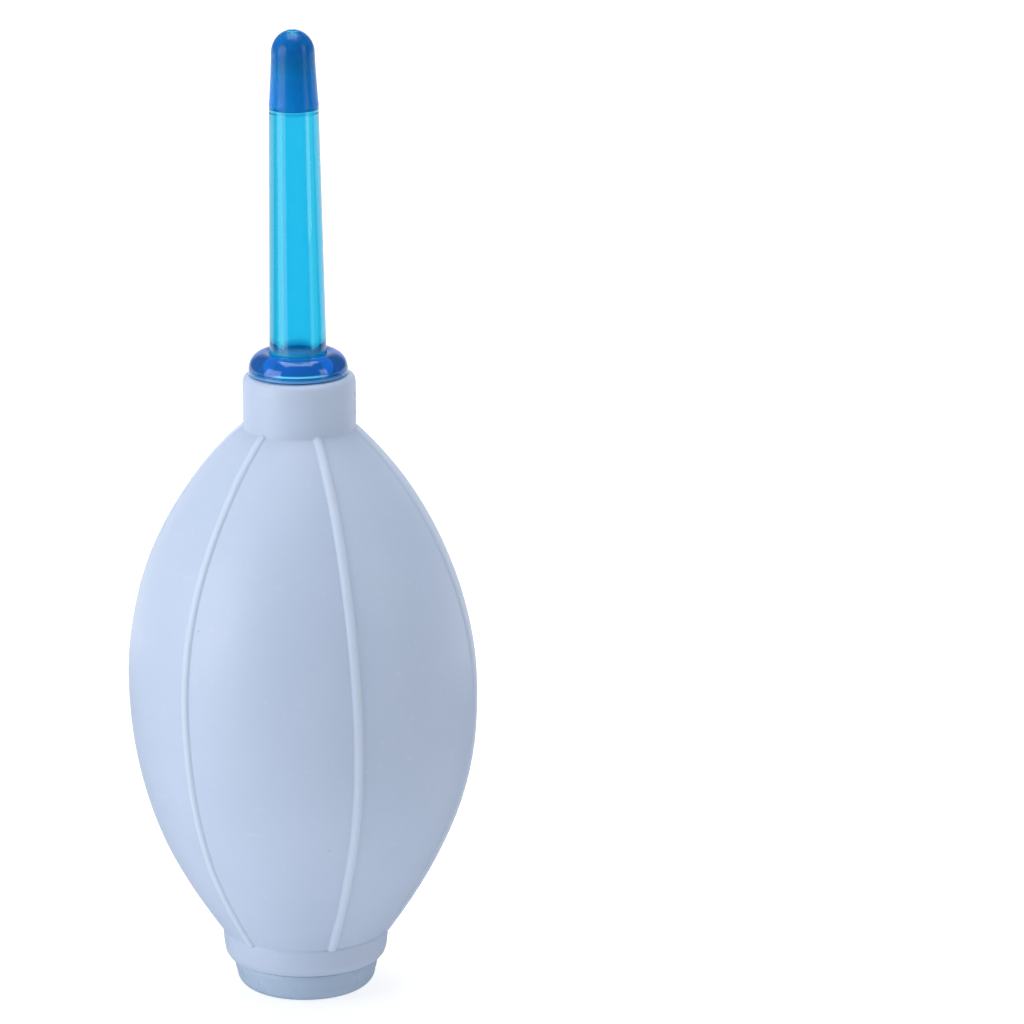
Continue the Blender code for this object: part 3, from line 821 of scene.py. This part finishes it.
def tube_material():
    """Clear tinted plastic: most of its colour is what it absorbs, so thick places are deeper."""
    material, tree, shader = new_material("tube_plastic", 0.02, ior=1.52)
    body = mottled(tree, TUBE_BODY, 400, low=0.3, high=0.7)
    shader.inputs["Specular IOR Level"].default_value = 0.30
    height = height_of(tree)
    # Painted shade: a dark band just under the tip's rim.
    painted_shade_band = band(tree, height, [TUBE_RIM_Z - depth for depth in TUBE_SHADE_LINE_DEPTHS], TUBE_SHADE_LINE_SHARE)
    with_painted_line = blended(tree, painted_shade_band, body, TUBE_PAINTED_SHADE_LINE)
    low, high = (TUBE_BOTTOM + level for level in TUBE_END_HEIGHTS)
    between_ends = band(tree, height, [low, high] + [TUBE_RIM_Z - depth for depth in TUBE_END_DEPTHS])
    # Painted light: the foot is a cloudier cyan, in place of light that the clear foot lets through.
    painted_light_foot = remap(tree, height, RING_TOP, RING_TOP + TUBE_PAINTED_FOOT_REACH, 1, 0)
    with_painted_light_foot = blended(tree, painted_light_foot, with_painted_line, TUBE_FOOT_PAINTED_LIGHT)
    tree.links.new(blended(tree, between_ends, TUBE_END_COLOUR, with_painted_light_foot), shader.inputs["Base Color"])
    clear = scalar_mix(tree, painted_light_foot, 1.0, TUBE_PAINTED_FOOT_CLEAR)
    clouded = scalar_mix(tree, between_ends, TUBE_END_CLEAR, clear)
    tree.links.new(clouded, shader.inputs["Transmission Weight"])
    absorbing(tree, TUBE_ABSORB)
    bumped(tree, shader, noise(tree, 220, 2, (1.0, 1.0, 0.2)), 0.00001, 0.2)
    return material


def ring_material():
    """Deep blue plastic, mostly clear, with painted light as a pale foot and a pale line in front, and a
    clear socket.
    """
    material, tree, shader = new_material("ring_plastic", 0.05, ior=1.45)
    body = mottled(tree, RING_BODY, 260, low=0.3, high=0.7)
    here = place(tree)
    height = tree.nodes.new("ShaderNodeSeparateXYZ")
    tree.links.new(here, height.inputs["Vector"])
    # Painted light: a pale, cloudier band at the ring's foot.
    low, high = (RING_SEAT + level for level in RING_PAINTED_FOOT_LEVELS)
    painted_light_foot = remap(tree, height.outputs["Z"], low, high, RING_PAINTED_FOOT_SHARE, 0.0)
    # Painted light: a pale line round the ring, strongest on the side that faces the camera and faint
    # elsewhere.
    at_painted_light_line = band(tree, height.outputs["Z"], [RING_SEAT + level for level in RING_PAINTED_LINE_LEVELS])
    forward = node(tree, "ShaderNodeVectorMath", operation="DOT_PRODUCT")
    tree.links.new(here, forward.inputs[0])
    forward.inputs[1].default_value = direction(RING_PAINTED_LINE_ANGLE, 0.0)
    painted_light_facing = remap(tree, forward.outputs["Value"], *RING_PAINTED_LINE_REACH, RING_PAINTED_LINE_LEAST, 1)
    line = product(tree, at_painted_light_line, painted_light_facing)
    with_painted_light_foot = blended(tree, painted_light_foot, body, RING_PAINTED_LIGHT_FOOT)
    with_painted_line = blended(tree, line, with_painted_light_foot, RING_PAINTED_LIGHT_LINE)
    flat = node(tree, "ShaderNodeCombineXYZ")
    tree.links.new(height.outputs["X"], flat.inputs["X"])
    tree.links.new(height.outputs["Y"], flat.inputs["Y"])
    length = node(tree, "ShaderNodeVectorMath", operation="LENGTH")
    tree.links.new(flat.outputs["Vector"], length.inputs[0])
    near, far = (SOCKET + depth for depth in SOCKET_WALL)
    inside = remap(tree, length.outputs["Value"], near, far, 1, 0)
    tree.links.new(blended(tree, inside, with_painted_line, WHITE), shader.inputs["Base Color"])
    cloudy = scalar_mix(tree, painted_light_foot, RING_CLEAR, RING_PAINTED_FOOT_CLEAR)
    lit = scalar_mix(tree, line, cloudy, RING_PAINTED_LINE_CLEAR)
    tree.links.new(scalar_mix(tree, inside, lit, 1.0), shader.inputs["Transmission Weight"])
    absorbing(tree, RING_ABSORB)
    bumped(tree, shader, noise(tree, 220, 2), 0.00002, 0.4)
    return material


def tip_material():
    """Translucent vinyl, with painted shade that makes its dome duller than its side."""
    material, tree, shader = new_material("tip_vinyl", 0.22)
    body = mottled(tree, TIP_BODY, 260)
    # Painted shade: the dome's colour is darker than the side.
    low, high = (TIP_TOP - depth for depth in TIP_DOME_SHADE_DEPTHS)
    dome = remap(tree, height_of(tree), low, high, 0, 1)
    tree.links.new(blended(tree, dome, body, TIP_DOME_PAINTED_SHADE), shader.inputs["Base Color"])
    tree.links.new(remap(tree, noise(tree, 700, 3), 0.3, 0.7, 0.19, 0.27), shader.inputs["Roughness"])
    shader.inputs["Specular IOR Level"].default_value = 0.22
    shader.inputs["Subsurface Weight"].default_value = 0.85
    shader.inputs["Subsurface Radius"].default_value = TIP_GLOW_COLOUR
    shader.inputs["Subsurface Scale"].default_value = TIP_GLOW_REACH
    bumped(tree, shader, noise(tree, 900, 3), 0.00002, 0.5)
    return material


def foam_material():
    material, tree, shader = new_material("filter_foam", 0.95)
    cells = node(tree, "ShaderNodeTexVoronoi", Scale=2600.0)
    tree.links.new(place(tree), cells.inputs["Vector"])
    pores = blended(tree, remap(tree, cells.outputs["Distance"], 0.1, 0.6, 0, 1), *FOAM_BODY)
    tree.links.new(pores, shader.inputs["Base Color"])
    bumped(tree, shader, cells.outputs["Distance"], 0.0001)
    return material


def moulded_material(name, pair, roughness):
    """Plain moulded piece inside the base."""
    material, tree, shader = new_material(name, roughness)
    tree.links.new(mottled(tree, pair, 600), shader.inputs["Base Color"])
    bumped(tree, shader, noise(tree, 1600, 2), 0.00001, 0.5)
    return material


def floor_material():
    material, tree, shader = new_material("studio_floor", 0.9)
    shader.inputs["Specular IOR Level"].default_value = 0.0
    pale = mottled(tree, FLOOR_GREYS, 3, 2, low=0.3, high=0.7)
    tree.links.new(pale, shader.inputs["Base Color"])
    shader.inputs["Emission Color"].default_value = (1.0, 1.0, 1.0, 1.0)
    path = tree.nodes.new("ShaderNodeLightPath")
    seen = scalar_mix(tree, path.outputs["Is Camera Ray"], path.outputs["Is Transmission Ray"], 1.0)
    glow = scalar_mix(tree, seen, FLOOR_BOUNCE, FLOOR_GLOW)
    tree.links.new(glow, shader.inputs["Emission Strength"])
    return material


def dress(obj, material):
    obj.data.materials.clear()
    obj.data.materials.append(material)


# Studio ------------------------------------------------------------------------------------------


def direction(angle, elevation):
    flat = math.cos(elevation)
    return Vector((flat * math.cos(angle), flat * math.sin(angle), math.sin(elevation)))


def softbox(name, degrees_right, distance, low, high, width, radiance):
    """An upright rectangular light that faces the axis. degrees_right counts from the camera's side."""
    light = bpy.data.lights.new(name, "AREA")
    light.shape = "RECTANGLE"
    light.size = width
    light.size_y = high - low
    light.energy = radiance * math.pi * width * (high - low)
    obj = bpy.data.objects.new(name, light)
    obj.visible_camera = False
    bpy.context.scene.collection.objects.link(obj)
    toward = direction(CAMERA_ANGLE + math.radians(degrees_right), 0.0)
    obj.location = toward * distance + Vector((0.0, 0.0, (low + high) / 2))
    obj.rotation_euler = toward.to_track_quat("Z", "Y").to_euler()
    return obj


def reflected_card(name, degrees_right, distance, low, high, width, radiance):
    """An upright bright card that only reflections show. degrees_right counts from the camera's side."""
    material, tree, shader = new_material(name, 1.0)
    shader.inputs["Base Color"].default_value = (0.0, 0.0, 0.0, 1.0)
    shader.inputs["Emission Color"].default_value = (1.0, 1.0, 1.0, 1.0)
    shader.inputs["Emission Strength"].default_value = radiance
    material.cycles.emission_sampling = "NONE"
    corners = [(-width / 2, low), (width / 2, low), (width / 2, high), (-width / 2, high)]
    mesh = bpy.data.meshes.new(name)
    mesh.from_pydata([(0.0, y, z) for y, z in corners], [], [(0, 1, 2, 3)])
    card = bpy.data.objects.new(name, mesh)
    bpy.context.scene.collection.objects.link(card)
    angle = CAMERA_ANGLE + math.radians(degrees_right)
    card.location = direction(angle, 0.0) * distance
    card.rotation_euler.z = angle
    for kind in ("camera", "diffuse", "transmission", "shadow", "volume_scatter"):
        setattr(card, f"visible_{kind}", False)
    dress(card, material)


def make_world():
    """A white surround, which lights matt surfaces and shows in reflections less in front than behind."""
    world = bpy.data.worlds.new("studio")
    world.use_nodes = True
    tree = world.node_tree
    background = tree.nodes["Background"]
    background.inputs["Color"].default_value = (1.0, 1.0, 1.0, 1.0)
    path = tree.nodes.new("ShaderNodeLightPath")
    coordinates = tree.nodes.new("ShaderNodeTexCoord")
    forward = node(tree, "ShaderNodeVectorMath", operation="DOT_PRODUCT")
    tree.links.new(coordinates.outputs["Generated"], forward.inputs[0])
    forward.inputs[1].default_value = direction(CAMERA_ANGLE, 0.0)
    ahead = forward.outputs["Value"]
    rim = node(tree, "ShaderNodeMath", operation="ADD")
    tree.links.new(remap(tree, ahead, *WORLD_REFLECTED_REACH, *WORLD_REFLECTED), rim.inputs[0])
    tree.links.new(remap(tree, ahead, *WORLD_RIM_REACH, 0.0, WORLD_RIM), rim.inputs[1])
    reflected = rim.outputs["Value"]
    fill = remap(tree, ahead, *WORLD_FILL_REACH, *WORLD_FILL)
    matt = scalar_mix(tree, path.outputs["Is Glossy Ray"], fill, reflected)
    through = scalar_mix(tree, path.outputs["Is Transmission Ray"], matt, 1.0)
    strength = scalar_mix(tree, path.outputs["Is Camera Ray"], through, 1.0)
    tree.links.new(strength, background.inputs["Strength"])
    bpy.context.scene.world = world


def make_floor():
    """A round floor in two halves. The half towards the camera doesn't show in reflections."""
    material = floor_material()
    for name, start, in_reflections in (("studio_floor_front", -90, False), ("studio_floor_back", 90, True)):
        points = [
            (FLOOR_RADIUS * math.cos(angle), FLOOR_RADIUS * math.sin(angle), 0.0)
            for angle in np.linspace(math.radians(start), math.radians(start + 180), 49)
        ]
        mesh = bpy.data.meshes.new(name)
        mesh.from_pydata(points, [], [list(range(len(points)))])
        floor = bpy.data.objects.new(name, mesh)
        bpy.context.scene.collection.objects.link(floor)
        floor.location = direction(CAMERA_ANGLE, 0.0) * FLOOR_JOIN + Vector((0.0, 0.0, -FLOOR_DROP))
        floor.rotation_euler.z = CAMERA_ANGLE
        floor.visible_glossy = in_reflections
        dress(floor, material)


def make_studio():
    make_world()
    softbox("left_softbox", -61, distance=1.1, low=0.01, high=0.80, width=0.86, radiance=3.8)
    softbox("right_softbox", 66, distance=1.1, low=0.35, high=0.85, width=0.36, radiance=3.6)
    top = softbox("top_softbox", 180, distance=0.15, low=0.77, high=1.63, width=0.86, radiance=4.4)
    top.rotation_euler = (0.0, 0.0, CAMERA_ANGLE)
    reflected_card("left_card", -61, distance=1.1, low=-0.50, high=0.0, width=0.86, radiance=1.6)
    reflected_card("right_card", 64, distance=1.1, low=-0.09, high=0.34, width=0.38, radiance=1.7)
    reflected_card("right_card_low", 64, distance=1.1, low=-0.50, high=-0.09, width=0.38, radiance=0.5)
    make_floor()
    bpy.context.scene.view_settings.view_transform = "Standard"


def make_camera():
    data = bpy.data.cameras.new("camera")
    data.lens = CAMERA_LENS
    data.sensor_width = CAMERA_SENSOR
    data.clip_start = 0.01
    data.clip_end = 20.0
    camera = bpy.data.objects.new("camera", data)
    bpy.context.scene.collection.objects.link(camera)
    back = direction(CAMERA_ANGLE, CAMERA_ELEVATION)
    right = Vector((-math.sin(CAMERA_ANGLE), math.cos(CAMERA_ANGLE), 0.0))
    target = Vector((0.0, 0.0, CAMERA_HEIGHT)) + right * CAMERA_SIDESTEP
    camera.location = target + back * CAMERA_DISTANCE
    turn = (-back).to_track_quat("-Z", "Y").to_matrix().to_4x4() @ Matrix.Rotation(-CAMERA_ROLL, 4, "Z")
    camera.rotation_euler = turn.to_euler()
    bpy.context.scene.camera = camera


# Assembly ----------------------------------------------------------------------------------------


def add(piece, material, body, node_name):
    """Gives a fine piece its material and body. It stands for the plain part of that name."""
    dress(piece, material)
    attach(piece, body)
    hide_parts(node_name)


make_camera()
make_studio()

bulb = make_bulb()
dress(bulb, rubber_material())
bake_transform(bulb)
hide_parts("squeeze_bulb")

add(make_plug(), plug_material(), "base", "base_plug")
add(make_grille(), grille_material(), "base", "intake_grille")
add(make_ring(), ring_material(), "head", "nozzle_collar")
add(make_tube(), tube_material(), "nozzle", "nozzle_tube")
add(make_tip(), tip_material(), "tip", "nozzle_tip")

filter_pad = make_disc("filter_pad", "intake_filter", PAD_EDGE)
add(filter_pad, foam_material(), "base", "intake_filter")
valve_disc = make_disc("valve_disc", "intake_valve_disc", DISC_EDGE)
silicone = moulded_material("valve_silicone", SILICONE_BODY, 0.45)
add(valve_disc, silicone, "intake_valve", "intake_valve_disc")
cage_plastic = moulded_material("cage_plastic", CAGE_BODY, 0.35)
dress(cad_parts["intake_cage"], cage_plastic)
